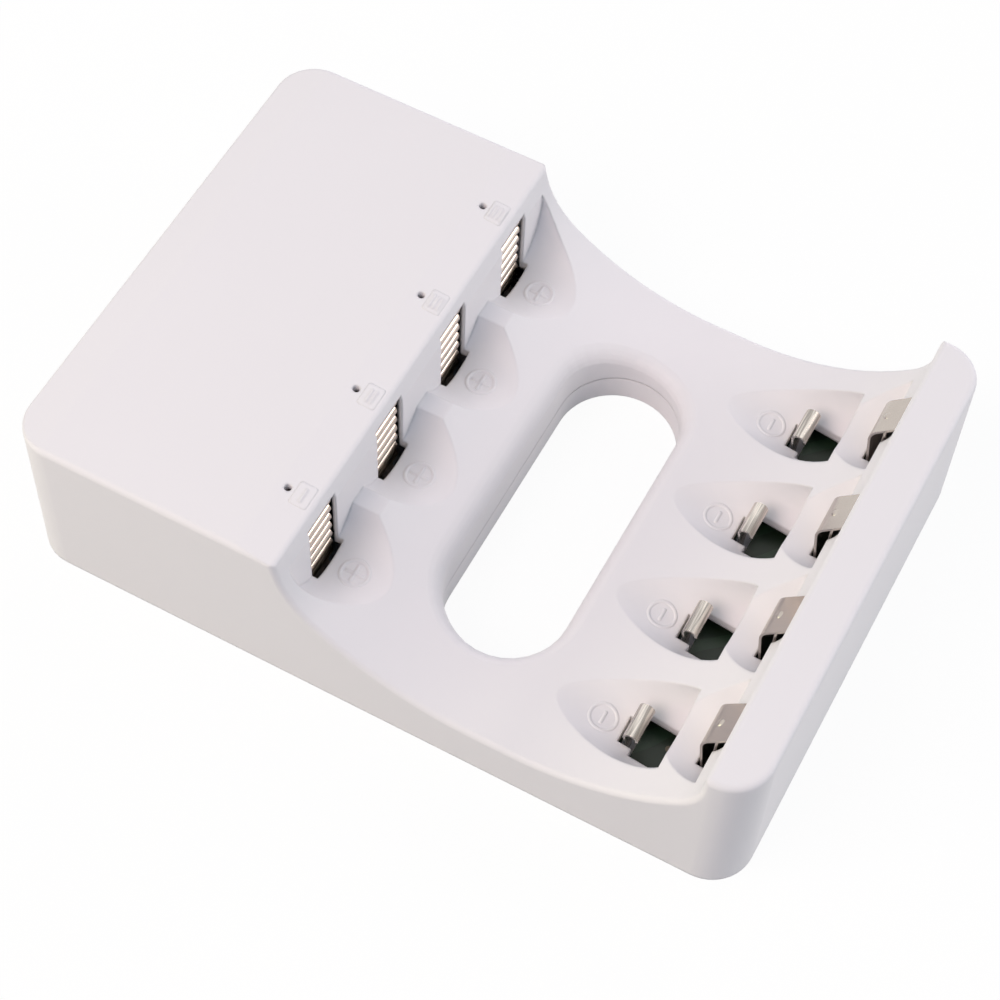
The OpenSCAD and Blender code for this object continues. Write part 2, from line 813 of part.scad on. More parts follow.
// Upright can capacitor beside the power inlet
module filter_capacitor() {
    color("lightgray")
        translate([bay_x(bay_count) - bay_pitch / 2, y_rear - 13, main_board_top]) {
            translate([-3.3, -3.3, 0])
                cube([6.6, 6.6, 1]);
            cylinder(d = 6.3, h = 7.7);
        }
}

// Wires that join the two boards, past both ends of the finger hole
module jumper_wires() {
    y_main = board_front_y + 1.6;
    y_board = step_y + 11.8;
    color("dimgray")
        for (s = [-1, 1], k = [0:s > 0 ? 1 : 2])
            translate([s * (case_w / 2 - wall - 1.9 - 1.6 * k), 0, 0]) {
                translate([0, y_main, wire_z])
                    cylinder(d = wire_d, h = main_board_z - wire_z);
                translate([0, y_main, wire_z])
                    sphere(d = wire_d);
                translate([0, y_main, wire_z])
                    rotate([90, 0, 0])
                        cylinder(d = wire_d, h = y_main - y_board);
                translate([0, y_board, wire_z])
                    sphere(d = wire_d);
                translate([0, y_board, front_board_top])
                    cylinder(d = wire_d, h = wire_z - front_board_top);
            }
}

module case_screws() {
    color("silver")
        for (sx = [-1, 1], y = post_y)
            translate([sx * post_x, y, 0])
                difference() {
                    union() {
                        translate([0, 0, 0.3])
                            cylinder(d = screw_head_d, h = screw_seat_z - 0.3);
                        cylinder(d = screw_d, h = post_z + 6);
                    }
                    translate([0, 0, -over])
                        cylinder(d = screw_head_d, h = over + 0.3);
                    for (a = [0, 90])
                        rotate([0, 0, a])
                            translate([-1, -0.2, 0])
                                cube([2, 0.4, 0.7]);
                }
}

top_housing();
bottom_cover();
main_board();
front_board();
positive_contact(1);  // positive_contact_1
positive_contact(2);  // positive_contact_2
positive_contact(3);  // positive_contact_3
positive_contact(4);  // positive_contact_4
aa_spring(1);  // aa_spring_1
aa_spring(2);  // aa_spring_2
aa_spring(3);  // aa_spring_3
aa_spring(4);  // aa_spring_4
aaa_spring(1);  // aaa_spring_1
aaa_spring(2);  // aaa_spring_2
aaa_spring(3);  // aaa_spring_3
aaa_spring(4);  // aaa_spring_4
led(1);  // led_1
led(2);  // led_2
led(3);  // led_3
led(4);  // led_4
led_leads();
inlet_shell();
inlet_tongue();
control_chip();
charge_transistors();
sense_resistors();
filter_capacitor();
jumper_wires();
case_screws();
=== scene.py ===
"""Studio scene of a charger for AA and AAA cells.

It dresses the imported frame, adds the moulded marks and sets up the floor, the light and the camera.
"""

import logging
import math
from dataclasses import dataclass
from enum import Enum

import bpy
from mathutils import Matrix, Vector


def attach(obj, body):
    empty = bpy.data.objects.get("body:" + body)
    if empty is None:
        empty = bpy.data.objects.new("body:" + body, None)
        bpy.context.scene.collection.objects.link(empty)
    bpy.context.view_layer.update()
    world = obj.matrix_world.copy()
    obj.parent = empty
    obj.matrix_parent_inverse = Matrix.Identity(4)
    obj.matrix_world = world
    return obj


LOG = logging.getLogger("charger")
MM = 0.001
CASE_BODY = "case"
BAY_COUNT = 4
BAY_PITCH_MM = 15.0
ABOVE_CASE_MM = 40.0
SMOOTH_DEG = 35.0

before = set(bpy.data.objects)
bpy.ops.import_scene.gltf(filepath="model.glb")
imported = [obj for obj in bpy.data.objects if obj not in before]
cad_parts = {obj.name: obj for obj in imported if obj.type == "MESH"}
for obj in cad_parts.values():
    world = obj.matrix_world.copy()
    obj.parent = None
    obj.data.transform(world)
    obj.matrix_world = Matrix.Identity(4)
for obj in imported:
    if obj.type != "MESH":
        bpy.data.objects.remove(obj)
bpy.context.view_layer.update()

Colour = tuple[float, float, float]
Paint = tuple[float, float, float, float]
Material = bpy.types.Material
Node = bpy.types.Node
Piece = bpy.types.Object
Socket = bpy.types.NodeSocket
NodeMap = dict[str, Piece]

MOULDED_WHITE: Colour = (0.800, 0.783, 0.806)
FULL_WHITE: Colour = (1.0, 1.0, 1.0)


def bay_x_mm(bay: int) -> float:
    """Gives the place of a bay's axis across the case.

    Args:
        bay: the bay's number, from 1.

    Returns:
        Its X in millimetres.
    """
    return (bay - (BAY_COUNT + 1) / 2) * BAY_PITCH_MM


def shade(colour: Colour, factor: float = 1.0) -> Paint:
    """Gives a colour scaled by a factor, with full alpha.

    Args:
        colour: linear red, green and blue.
        factor: what each is multiplied by.

    Returns:
        Red, green, blue and alpha, each at most 1.
    """
    return tuple(min(1.0, c * factor) for c in colour) + (1.0,)


class CellMark(Enum):
    """Which end of a cell a moulded mark stands for."""

    PLUS = "plus"
    MINUS = "minus"


class Tree:
    """A material's or node group's node tree, with short ways to add and link nodes."""

    # Places of a Mix node's colour sockets, which share their names with its other sockets
    MIX_FIRST = 6
    MIX_SECOND = 7
    MIX_RESULT = 2

    def __init__(self, tree: bpy.types.NodeTree) -> None:
        """Keeps the tree that nodes are added to."""
        self.tree = tree

    def add(self, kind: str, links: dict[str, Socket] | None = None, **values: object) -> Node:
        """Adds a node, sets its plain values and links its inputs.

        Args:
            kind: Blender's name of the node type.
            links: input name to the output socket that feeds it.
            values: attribute or input name to the value it is given.

        Returns:
            The new node.
        """
        node = self.tree.nodes.new(kind)
        for name, value in values.items():
            if hasattr(node, name):
                setattr(node, name, value)
            else:
                node.inputs[name.replace("_", " ")].default_value = value
        for name, socket in (links or {}).items():
            self.link(socket, node.inputs[name])
        return node

    def link(self, source: Socket, target: Socket) -> None:
        """Links one socket to another."""
        self.tree.links.new(source, target)

    def blend(self, factor: Socket, first: Paint, second: Paint) -> Socket:
        """Mixes two colours.

        Args:
            factor: gives the first colour at 0 and the second at 1.
            first: red, green, blue and alpha.
            second: red, green, blue and alpha.

        Returns:
            The mixed colour's socket.
        """
        mix = self.add("ShaderNodeMix", {"Factor": factor}, data_type="RGBA")
        mix.inputs[self.MIX_FIRST].default_value = first
        mix.inputs[self.MIX_SECOND].default_value = second
        return mix.outputs[self.MIX_RESULT]

    def calculate(self, value: Socket, operation: str, other: float) -> Socket:
        """Calculates with a value and a number, or compares them.

        Args:
            value: the value's socket.
            operation: Blender's name of the operation.
            other: the number.

        Returns:
            The result's socket.
        """
        node = self.add("ShaderNodeMath", {"Value": value}, operation=operation)
        node.inputs[1].default_value = other
        return node.outputs["Value"]


def new_material(name: str) -> tuple[Material, Tree, Node]:
    """Starts a material.

    Args:
        name: its name.

    Returns:
        The material, its tree and its Principled shader.
    """
    material = bpy.data.materials.new(name)
    material.use_nodes = True
    kit = Tree(material.node_tree)
    return material, kit, kit.tree.nodes["Principled BSDF"]


class SurfaceGroups:
    """Shader node groups that several finishes share, each built once."""

    STREAK_STRETCH = (0.06, 1.0, 1.0)
    _made: dict[str, bpy.types.NodeTree] = {}

    @classmethod
    def _new(
        cls, name: str, inputs: dict[str, float], outputs: tuple[str, ...]
    ) -> tuple[Tree, Node, Node]:
        """Starts a node group.

        Args:
            name: the group's name.
            inputs: names and starting values of its value inputs.
            outputs: names of its value outputs.

        Returns:
            The tree, its input node and its output node.
        """
        tree = bpy.data.node_groups.new(name, "ShaderNodeTree")
        kind = "NodeSocketFloat"
        for label, value in inputs.items():
            socket = tree.interface.new_socket(name=label, in_out="INPUT", socket_type=kind)
            socket.default_value = value
        for label in outputs:
            tree.interface.new_socket(name=label, in_out="OUTPUT", socket_type=kind)
        cls._made[name] = tree
        return Tree(tree), tree.nodes.new("NodeGroupInput"), tree.nodes.new("NodeGroupOutput")

    @staticmethod
    def _noise(kit: Tree, place: Socket, scale: Socket, **values: float) -> Socket:
        """Adds a noise texture.

        Args:
            kit: the tree that it goes into.
            place: the socket of its coordinates.
            scale: the socket of its scale.
            values: its other settings.

        Returns:
            The socket of its value.
        """
        noise = kit.add("ShaderNodeTexNoise", {"Vector": place, "Scale": scale}, **values)
        return noise.outputs["Fac"]

    @classmethod
    def grain(cls) -> bpy.types.NodeTree:
        """Moulded grain: a fine height, a slow tone and a roughness mask, all from 0 to 1.

        Returns:
            The group.
        """
        if "moulded_grain" in cls._made:
            return cls._made["moulded_grain"]
        kit, given, out = cls._new(
            "moulded_grain",
            {"Grain Scale": 3000.0, "Cloud Scale": 40.0},
            ("Height", "Tone", "Mask"),
        )
        place = kit.add("ShaderNodeTexCoord").outputs["Object"]
        grain, cloud = given.outputs["Grain Scale"], given.outputs["Cloud Scale"]
        fine = cls._noise(kit, place, grain, Detail=2.0, Roughness=0.6)
        slow = cls._noise(kit, place, cloud, Detail=3.0)
        spots = cls._noise(kit, place, cloud, Detail=6.0, Roughness=0.7)
        kit.link(fine, out.inputs["Height"])
        kit.link(slow, out.inputs["Tone"])
        kit.link(spots, out.inputs["Mask"])
        return kit.tree

    @classmethod
    def streaks(cls) -> bpy.types.NodeTree:
        """Rolled metal: fine streaks along X and soft handling marks, from 0 to 1.

        Returns:
            The group.
        """
        if "rolled_streaks" in cls._made:
            return cls._made["rolled_streaks"]
        kit, given, out = cls._new(
            "rolled_streaks",
            {"Streak Scale": 2500.0, "Mark Scale": 260.0},
            ("Height", "Tone"),
        )
        place = kit.add("ShaderNodeTexCoord").outputs["Object"]
        long = kit.add("ShaderNodeMapping", {"Vector": place}, Scale=cls.STREAK_STRETCH)
        streak, mark = given.outputs["Streak Scale"], given.outputs["Mark Scale"]
        fine = cls._noise(kit, long.outputs["Vector"], streak, Detail=3.0)
        marks = cls._noise(kit, place, mark, Detail=4.0, Roughness=0.65)
        kit.link(fine, out.inputs["Height"])
        kit.link(marks, out.inputs["Tone"])
        return kit.tree


@dataclass(frozen=True)
class MouldedPlastic:
    """Satin or glossy moulded plastic with a fine grain and soft edges."""

    name: str
    colour: Colour
    roughness: float = 0.4
    roughness_spread: float = 0.06
    specular: float = 0.5
    grain_mm: float = 0.012
    grain_strength: float = 0.35
    edge_mm: float = 0.0
    edge_samples: int = 6
    variation: float = 0.02

    def material(self) -> Material:
        """Builds the finish.

        Returns:
            Its material.
        """
        material, kit, shader = new_material(self.name)
        shader.inputs["Specular IOR Level"].default_value = self.specular
        group = kit.add("ShaderNodeGroup", node_tree=SurfaceGroups.grain())
        dark = shade(self.colour, 1.0 - self.variation)
        light = shade(self.colour, 1.0 + self.variation)
        kit.link(kit.blend(group.outputs["Tone"], dark, light), shader.inputs["Base Color"])
        rough = kit.add(
            "ShaderNodeMapRange",
            {"Value": group.outputs["Mask"]},
            To_Min=self.roughness - self.roughness_spread,
            To_Max=self.roughness + self.roughness_spread,
        )
        kit.link(rough.outputs["Result"], shader.inputs["Roughness"])
        bump = kit.add(
            "ShaderNodeBump",
            {"Height": group.outputs["Height"]},
            Strength=self.grain_strength,
            Distance=self.grain_mm * MM,
        )
        if self.edge_mm > 0:
            edge = kit.add("ShaderNodeBevel", samples=self.edge_samples, Radius=self.edge_mm * MM)
            kit.link(edge.outputs["Normal"], bump.inputs["Normal"])
        kit.link(bump.outputs["Normal"], shader.inputs["Normal"])
        return material


@dataclass(frozen=True)
class PlatedMetal:
    """Plated or bare metal with rolling streaks and faint handling marks, and, where asked, painted
    reflections in bands along X.
    """

    name: str
    colour: Colour
    roughness: float = 0.25
    smoother_by: float = 0.08
    rougher_by: float = 0.1
    streak_mm: float = 0.004
    streak_strength: float = 0.3
    edge_mm: float = 0.05
    edge_samples: int = 4
    variation: float = 0.08
    # Painted reflections: the tone in sharp light and dark bands along X, between these levels of the
    # streaks
    painted_reflection_bands: bool = False
    reflection_band_from: float = 0.4
    reflection_band_to: float = 0.6

    def material(self) -> Material:
        """Builds the finish, with painted highlights and reflections as light and dark bands of its
        tone along X where it has them.

        Returns:
            Its material.
        """
        material, kit, shader = new_material(self.name)
        shader.inputs["Metallic"].default_value = 1.0
        group = kit.add("ShaderNodeGroup", node_tree=SurfaceGroups.streaks())
        tone = group.outputs["Tone"]
        # Painted highlights and reflections: the streaks sharpened into light and dark bands
        if self.painted_reflection_bands:
            bands = kit.add(
                "ShaderNodeMapRange",
                {"Value": group.outputs["Height"]},
                From_Min=self.reflection_band_from,
                From_Max=self.reflection_band_to,
            )
            tone = bands.outputs["Result"]
        # Dark and light tones: random handling marks; with the bands, painted dark and bright
        # reflections
        dark = shade(self.colour, 1.0 - self.variation)
        light = shade(self.colour, 1.0 + self.variation)
        kit.link(kit.blend(tone, dark, light), shader.inputs["Base Color"])
        rough = kit.add(
            "ShaderNodeMapRange",
            {"Value": group.outputs["Tone"]},
            To_Min=self.roughness - self.smoother_by,
            To_Max=self.roughness + self.rougher_by,
        )
        kit.link(rough.outputs["Result"], shader.inputs["Roughness"])
        edge = kit.add("ShaderNodeBevel", samples=self.edge_samples, Radius=self.edge_mm * MM)
        bump = kit.add(
            "ShaderNodeBump",
            {"Height": group.outputs["Height"], "Normal": edge.outputs["Normal"]},
            Strength=self.streak_strength,
            Distance=self.streak_mm * MM,
        )
        kit.link(bump.outputs["Normal"], shader.inputs["Normal"])
        return material


@dataclass(frozen=True)
class SolderMask:
    """Green circuit board with copper traces under the mask and tinned pads."""

    name: str
    colour: Colour
    trace: Colour
    pad: Colour
    pitch_mm: float = 1.6
    wave_pitches: float = 6.3
    wave_distortion: float = 3.0
    trace_level: float = 0.72
    trace_mm: float = 0.03
    trace_strength: float = 0.5
    pad_pitches: float = 2.0
    pad_size: float = 0.13
    mask_roughness: float = 0.35
    pad_roughness: float = 0.5

    def material(self) -> Material:
        """Builds the finish.

        Returns:
            Its material.
        """
        material, kit, shader = new_material(self.name)
        place = kit.add("ShaderNodeTexCoord").outputs["Object"]
        rate = 1.0 / (self.pitch_mm * MM)
        waves = kit.add(
            "ShaderNodeTexWave",
            {"Vector": place},
            bands_direction="DIAGONAL",
            Scale=rate / self.wave_pitches,
            Distortion=self.wave_distortion,
            Detail=1.0,
        )
        line = kit.calculate(waves.outputs["Fac"], "GREATER_THAN", self.trace_level)
        cells = kit.add("ShaderNodeTexVoronoi", {"Vector": place}, Scale=rate / self.pad_pitches)
        dot = kit.calculate(cells.outputs["Distance"], "LESS_THAN", self.pad_size)
        mask = kit.blend(line, shade(self.colour), shade(self.trace))
        pads = kit.blend(dot, shade(self.colour), shade(self.pad))
        kit.link(mask, pads.node.inputs[Tree.MIX_FIRST])
        kit.link(pads, shader.inputs["Base Color"])
        rough = kit.add(
            "ShaderNodeMapRange",
            {"Value": dot},
            To_Min=self.mask_roughness,
            To_Max=self.pad_roughness,
        )
        kit.link(rough.outputs["Result"], shader.inputs["Roughness"])
        bump = kit.add(
            "ShaderNodeBump",
            {"Height": line},
            Strength=self.trace_strength,
            Distance=self.trace_mm * MM,
        )
        kit.link(bump.outputs["Normal"], shader.inputs["Normal"])
        return material


Finish = MouldedPlastic | PlatedMetal | SolderMask

CASE = MouldedPlastic(
    "case_white_satin",
    MOULDED_WHITE,
    roughness=0.52,
    specular=0.35,
    edge_mm=0.5,
    variation=0.012,
)
COVER = MouldedPlastic(
    "cover_white_satin", MOULDED_WHITE, roughness=0.5, edge_mm=0.25, variation=0.012
)
# Positive plates: nickel made lighter, painted bright reflection on the ribs
PLATE_PAINTED_BRIGHT_REFLECTION = PlatedMetal("plate_nickel_painted_bright_reflection", (0.74, 0.66, 0.58), roughness=0.22)
# AA leaves: the same nickel made darker, painted dark reflection
LEAF_PAINTED_DARK_REFLECTION = PlatedMetal("leaf_nickel_painted_dark_reflection", (0.565, 0.505, 0.455), roughness=0.2)
# AAA leaves: nickel with strong light and dark bands along X, painted highlights and painted
# reflections along the rolled head
LEAF_PAINTED_REFLECTION_BANDS = PlatedMetal(
    "leaf_bands_of_painted_reflection", (0.62, 0.57, 0.52), roughness=0.2, variation=0.35, painted_reflection_bands=True
)
# Board colours near black: the green mask, copper and tinned pads partly their own colour and partly
# painted shade inside the case
BOARD_PAINTED_SHADE = SolderMask(
    "board_green_mask_painted_shade",
    colour=(0.010, 0.020, 0.011),
    trace=(0.016, 0.035, 0.019),
    pad=(0.12, 0.10, 0.07),
)
# LED lens: partly its own red and partly painted shade of the pin holes in front of it, so near black
LENS_PAINTED_SHADE = MouldedPlastic("lens_red_painted_shade", (0.10, 0.022, 0.016), roughness=0.2, grain_mm=0.004)
LEAD = PlatedMetal("lead_tinned", (0.66, 0.66, 0.65), roughness=0.35)
SHELL = PlatedMetal("inlet_shell_steel", (0.62, 0.62, 0.61), roughness=0.28)
INSULATOR = MouldedPlastic("inlet_insulator_black", (0.02, 0.02, 0.02), roughness=0.5)
COMPONENT = MouldedPlastic("component_black", (0.03, 0.03, 0.032), roughness=0.55)
CAN = PlatedMetal("capacitor_can", (0.72, 0.72, 0.73), roughness=0.3)
WIRE = MouldedPlastic("wire_black", (0.025, 0.025, 0.028), roughness=0.4, grain_mm=0.004)
SCREW = PlatedMetal("screw_zinc", (0.58, 0.58, 0.57), roughness=0.32)

# Finishes by the node's name, or by its name without the bay's number
NODE_FINISHES: dict[str, Finish] = {
    "top_housing": CASE,
    "bottom_cover": COVER,
    "positive_contact": PLATE_PAINTED_BRIGHT_REFLECTION,
    "aa_spring": LEAF_PAINTED_DARK_REFLECTION,
    "aaa_spring": LEAF_PAINTED_REFLECTION_BANDS,
    "main_board": BOARD_PAINTED_SHADE,
    "front_board": BOARD_PAINTED_SHADE,
    "led": LENS_PAINTED_SHADE,
    "led_leads": LEAD,
    "inlet_shell": SHELL,
    "inlet_tongue": INSULATOR,
    "control_chip": COMPONENT,
    "charge_transistors": COMPONENT,
    "sense_resistors": COMPONENT,
    "filter_capacitor": CAN,
    "jumper_wires": WIRE,
    "case_screws": SCREW,
}


class Dresser:
    """Gives each node of the frame its finish."""

    def __init__(self, nodes: NodeMap) -> None:
        """Keeps the frame's nodes."""
        self.nodes = nodes
        self._made: dict[str, Material] = {}

    def material(self, finish: Finish) -> Material:
        """Gives a finish's material, which is built once.

        Args:
            finish: the finish.

        Returns:
            Its material.
        """
        if finish.name not in self._made:
            self._made[finish.name] = finish.material()
        return self._made[finish.name]

    def dress(self) -> None:
        """Assigns the finishes to the frame's nodes."""
        for name, node in self.nodes.items():
            finish = NODE_FINISHES.get(name) or NODE_FINISHES[name.rsplit("_", 1)[0]]
            node.data.materials.clear()
            node.data.materials.append(self.material(finish))
            LOG.info("%s: %s", name, finish.name)


def deselect() -> None:
    """Leaves every object unselected, in object mode."""
    if bpy.context.object is not None and bpy.context.object.mode != "OBJECT":
        bpy.ops.object.mode_set(mode="OBJECT")
    bpy.ops.object.select_all(action="DESELECT")


def pick(piece: Piece) -> None:
    """Selects one piece alone and makes it the active one.

    Args:
        piece: what is selected.
    """
    deselect()
    piece.select_set(True)
    bpy.context.view_layer.objects.active = piece


def settle(piece: Piece) -> None:
    """Moves a piece's place, turn and scale into its mesh."""
    pick(piece)
    bpy.ops.object.transform_apply(location=True, rotation=True, scale=True)


def edit_all() -> None:
    """Opens the active piece for editing, with all of it selected."""
    bpy.ops.object.mode_set(mode="EDIT")
    bpy.ops.mesh.select_all(action="SELECT")


def copy_of(piece: Piece, name: str, at_mm: tuple[float, float, float]) -> Piece:
    """Copies a piece, with its own mesh and modifiers, to a new place.

    Args:
        piece: what is copied.
        name: the copy's name.
        at_mm: where the copy stands.

    Returns:
        The copy, with its place moved into its mesh.
    """
    twin = piece.copy()
    twin.data = piece.data.copy()
    twin.name = name
    twin.data.name = name
    bpy.context.scene.collection.objects.link(twin)
    twin.location = Vector(at_mm) * MM
    settle(twin)
    return twin


def apply_modifiers(piece: Piece) -> None:
    """Applies all of a piece's modifiers, in their order, and smooths its faces.

    Args:
        piece: what has the modifiers.
    """
    pick(piece)
    for modifier in [m.name for m in piece.modifiers]:
        bpy.ops.object.modifier_apply(modifier=modifier)
    bpy.ops.object.shade_smooth_by_angle(angle=math.radians(SMOOTH_DEG))


def join(pieces: list[Piece]) -> Piece:
    """Joins pieces into the first of them.

    Args:
        pieces: what is joined.

    Returns:
        The first piece.
    """
    deselect()
    for piece in pieces:
        piece.select_set(True)
    bpy.context.view_layer.objects.active = pieces[0]
    bpy.ops.object.join()
    return pieces[0]


@dataclass
class Relief:
    """Flat outlines laid on the case's surface and raised from it, as if cut in the mould."""

    case: Piece
    raised_mm: float
    sunk_mm: float = 0.45
    edge_mm: float = 0.2
    edge_segments: int = 4
    edge_limit_deg: float = 50.0
    ring_corners: int = 72

    def raise_from_case(self, piece: Piece) -> None:
        """Adds the modifiers that lay a flat piece on the case and give it its height.

        Args:
            piece: a flat mesh that faces up.
        """
        lay = piece.modifiers.new("lay", "SHRINKWRAP")
        lay.target = self.case
        lay.wrap_method = "PROJECT"
        lay.use_project_z = True
        lay.use_negative_direction = True
        lay.use_positive_direction = False
        thick = piece.modifiers.new("thick", "SOLIDIFY")
        total = self.raised_mm + self.sunk_mm
        thick.thickness = total * MM
        thick.offset = (self.raised_mm - self.sunk_mm) / total
        soft = piece.modifiers.new("soft", "BEVEL")
        soft.width = self.edge_mm * MM
        soft.segments = self.edge_segments
        soft.limit_method = "ANGLE"
        soft.angle_limit = math.radians(self.edge_limit_deg)

    def bar(
        self, name: str, long_mm: float, wide_mm: float, turn_deg: float = 0.0, cuts: int = 1
    ) -> Piece:
        """Models a flat bar about the origin.

        Args:
            name: its name.
            long_mm: its length, along X before it is turned.
            wide_mm: its width.
            turn_deg: its turn about Z.
            cuts: cuts along and across it, so that it can follow a curve.

        Returns:
            The bar.
        """
        deselect()
        bpy.ops.mesh.primitive_plane_add(size=1.0, location=(0.0, 0.0, 0.0))
        piece = bpy.context.object
        piece.name = name
        piece.scale = (long_mm * MM, wide_mm * MM, 1.0)
        piece.rotation_euler = (0.0, 0.0, math.radians(turn_deg))
        settle(piece)
        edit_all()
        bpy.ops.mesh.subdivide(number_cuts=cuts)
        bpy.ops.object.mode_set(mode="OBJECT")
        return piece

    def ring(self, name: str, outer_mm: float, wide_mm: float) -> Piece:
        """Models a flat ring about the origin.

        Args:
            name: its name.
            outer_mm: its outer diameter.
            wide_mm: the width of its line.

        Returns:
            The ring.
        """
        deselect()
        bpy.ops.mesh.primitive_circle_add(
            vertices=self.ring_corners,
            radius=outer_mm * MM / 2,
            fill_type="NGON",
            location=(0.0, 0.0, 0.0),
        )
        piece = bpy.context.object
        piece.name = name
        edit_all()
        bpy.ops.mesh.inset(thickness=wide_mm * MM)
        bpy.ops.mesh.delete(type="FACE")
        bpy.ops.object.mode_set(mode="OBJECT")
        return piece


@dataclass(frozen=True)
class MarkSize:
    """Sizes of one kind of mark, and its place along the bay."""

    y_mm: float
    ring_mm: float
    bar_mm: float
    raised_mm: float


@dataclass
class CellMarks:
    """Ringed plus and minus signs moulded into the floor of each bay."""

    case: Piece
    finish: Material
    line_mm: float = 0.5
    plus: MarkSize = MarkSize(y_mm=7.06, ring_mm=3.85, bar_mm=2.5, raised_mm=0.14)
    minus: MarkSize = MarkSize(y_mm=-24.95, ring_mm=3.7, bar_mm=1.85, raised_mm=0.1)

    def size(self, mark: CellMark) -> MarkSize:
        """Gives the sizes of a kind of mark."""
        return self.plus if mark is CellMark.PLUS else self.minus

    def sign(self, mark: CellMark) -> Piece:
        """Models one sign about the origin, flat, with the modifiers that lay it on the case.

        Args:
            mark: which sign.

        Returns:
            The sign.
        """
        size = self.size(mark)
        relief = Relief(self.case, size.raised_mm)
        parts = [
            relief.ring(f"{mark.value}_mark", size.ring_mm, self.line_mm),
            relief.bar("across", size.bar_mm, self.line_mm),
        ]
        if mark is CellMark.PLUS:
            # Each arm ends inside the cross bar, so that their rounded edges leave no notch
            far = size.bar_mm / 2
            near = self.line_mm / 2 - 2 * relief.edge_mm
            for side in (-1, 1):
                half = relief.bar("along", far - near, self.line_mm, turn_deg=90.0)
                half.location.y = side * (far + near) / 2 * MM
                settle(half)
                parts.append(half)
        whole = join(parts)
        relief.raise_from_case(whole)
        return whole

    def build(self) -> list[Piece]:
        """Makes both signs for each bay.

        Returns:
            The eight signs.
        """
        made = []
        for mark in CellMark:
            pattern = self.sign(mark)
            for bay in range(1, BAY_COUNT + 1):
                at_mm = (bay_x_mm(bay), self.size(mark).y_mm, ABOVE_CASE_MM)
                sign = copy_of(pattern, f"{mark.value}_mark_{bay}", at_mm)
                apply_modifiers(sign)
                made.append(sign)
            bpy.data.objects.remove(pattern)
        for sign in made:
            sign.data.materials.clear()
            sign.data.materials.append(self.finish)
            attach(sign, CASE_BODY)
        return made


@dataclass
class TallyPanels:
    """Low panels between the lights and the block's edge, with as many bars as the bay's number."""

    case: Piece
    finish: Material
    middle_y_mm: float = 13.25
    panel_mm: tuple[float, float] = (3.2, 2.3)
    panel_raised_mm: float = 0.008
    corner_mm: float = 0.35
    corner_segments: int = 5
    bar_mm: tuple[float, float] = (1.9, 0.3)
    bar_raised_mm: float = 0.08
    bar_edge_mm: float = 0.11
    spacing_mm: float = 0.54

    def panel(self) -> Piece:
        """Models the flat panel with rounded corners.

        Returns:
            The panel, with the modifiers that lay it on the case.
        """
        relief = Relief(self.case, self.panel_raised_mm)
        piece = relief.bar("tally_panel", *self.panel_mm, cuts=0)
        edit_all()
        bpy.ops.mesh.bevel(
            offset=self.corner_mm * MM, segments=self.corner_segments, affect="VERTICES"
        )
        bpy.ops.object.mode_set(mode="OBJECT")
        relief.raise_from_case(piece)
        return piece

    def build(self) -> list[Piece]:
        """Makes one panel with its bars for each bay.

        Returns:
            The four panels.
        """
        pattern = self.panel()
        relief = Relief(self.case, self.bar_raised_mm, edge_mm=self.bar_edge_mm)
        stroke = relief.bar("tally_bar", *self.bar_mm)
        relief.raise_from_case(stroke)
        made = []
        for bay in range(1, BAY_COUNT + 1):
            x_mm = bay_x_mm(bay)
            parts = [copy_of(pattern, f"tally_{bay}", (x_mm, self.middle_y_mm, ABOVE_CASE_MM))]
            for k in range(bay):
                y_mm = self.middle_y_mm + (k - (bay - 1) / 2) * self.spacing_mm
                parts.append(copy_of(stroke, f"stroke_{bay}_{k}", (x_mm, y_mm, ABOVE_CASE_MM)))
            for part in parts:
                apply_modifiers(part)
            tally = join(parts)
            tally.data.materials.clear()
            tally.data.materials.append(self.finish)
            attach(tally, CASE_BODY)
            made.append(tally)
        bpy.data.objects.remove(pattern)
        bpy.data.objects.remove(stroke)
        return made


@dataclass(frozen=True)
class Softbox:
    """A square soft light that points at the object from a direction."""

    name: str
    azimuth_deg: float
    elevation_deg: float
    watts: float
    colour: Colour
    distance_m: float = 0.8
    size_m: float = 0.5

    def build(self) -> None:
        """Adds the light to the scene."""
        azimuth, elevation = math.radians(self.azimuth_deg), math.radians(self.elevation_deg)
        level = self.distance_m * math.cos(elevation)
        height = self.distance_m * math.sin(elevation)
        at = Vector((level * math.cos(azimuth), level * math.sin(azimuth), height))
        data = bpy.data.lights.new(self.name, "AREA")
        data.size = self.size_m
        data.energy = self.watts
        data.color = self.colour
        light = bpy.data.objects.new(self.name, data)
        light.location = at
        light.rotation_euler = (-at).to_track_quat("-Z", "Y").to_euler()
        bpy.context.scene.collection.objects.link(light)


